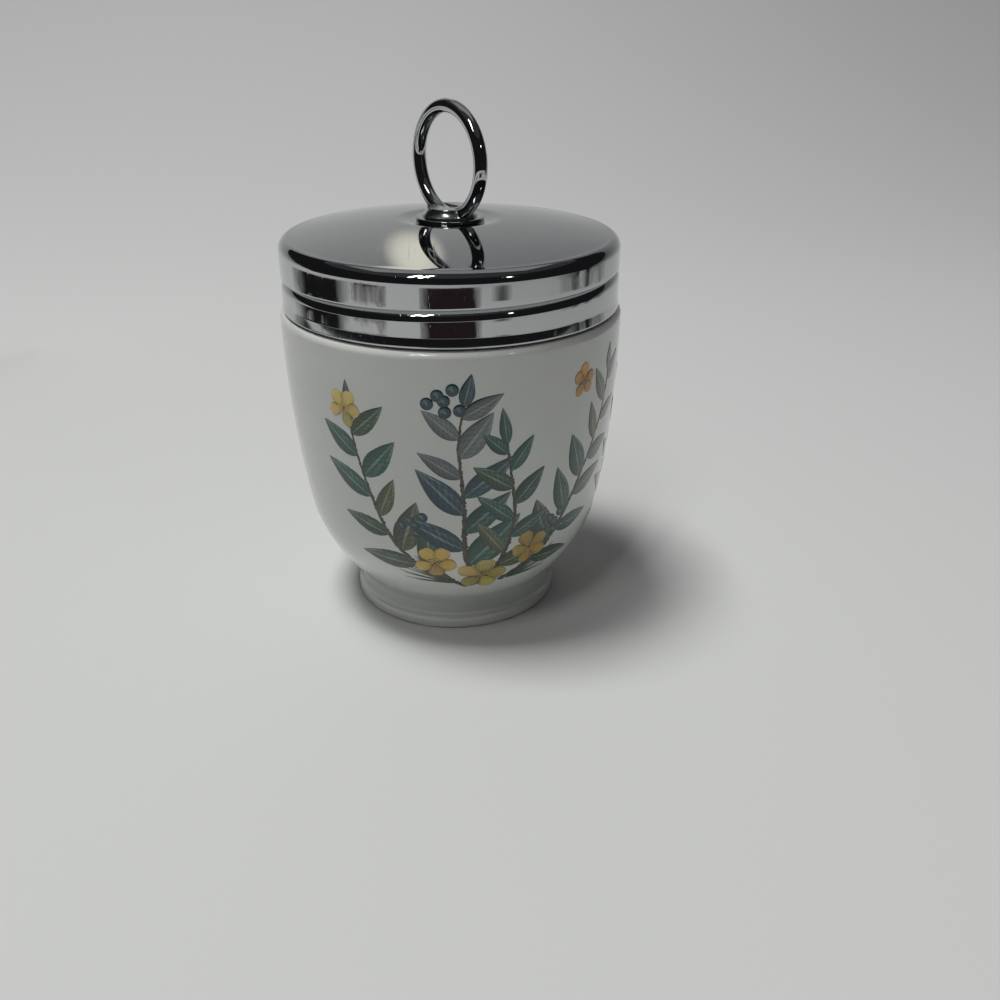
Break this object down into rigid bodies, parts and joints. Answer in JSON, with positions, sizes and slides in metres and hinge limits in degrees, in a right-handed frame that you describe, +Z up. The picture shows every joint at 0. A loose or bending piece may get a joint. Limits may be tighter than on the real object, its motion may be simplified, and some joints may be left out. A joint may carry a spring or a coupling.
{
  "type": "egg coddler",
  "caption": "Glazed porcelain cup on a round foot with a domed chromed screw cap that carries an upright wire finger ring.",
  "frame": {"origin": "centre of the foot ring's flat underside, on the table", "axes": "+Z up along the cup's axis, -Y towards the front that the picture shows, +X to the right"},
  "size_m": [0.0614, 0.0614, 0.0922],
  "materials": {
    "porcelain": "gloss",
    "lid_chrome": "polished",
    "ring_chrome": "polished",
    "boss_chrome": "satin",
    "collar_chrome": "polished",
    "backing_steel": "satin"
  },
  "bodies": {
    "cup": {"porcelain_cup": "porcelain"},
    "lid_carrier": {"backing_washer": "backing_steel"},
    "lid": {"lid_shell": "lid_chrome", "finger_ring": "ring_chrome", "ring_boss": "boss_chrome", "collar_washer": "collar_chrome"}
  },
  "joints": [
    {"name": "lid_rise", "type": "slide", "parent": "cup", "child": "lid_carrier", "axis": [0, 0, 1], "range_m": [0, 0.01281]},
    {"name": "lid_turn", "type": "hinge", "parent": "lid_carrier", "child": "lid", "pos_m": [0, 0, 0.064], "axis": [0, 0, 1], "range_deg": [0, 1440]}
  ],
  "couplings": [
    {"joint": "lid_rise", "follows": "lid_turn", "m_per_rad": 0.0005093}
  ]
}
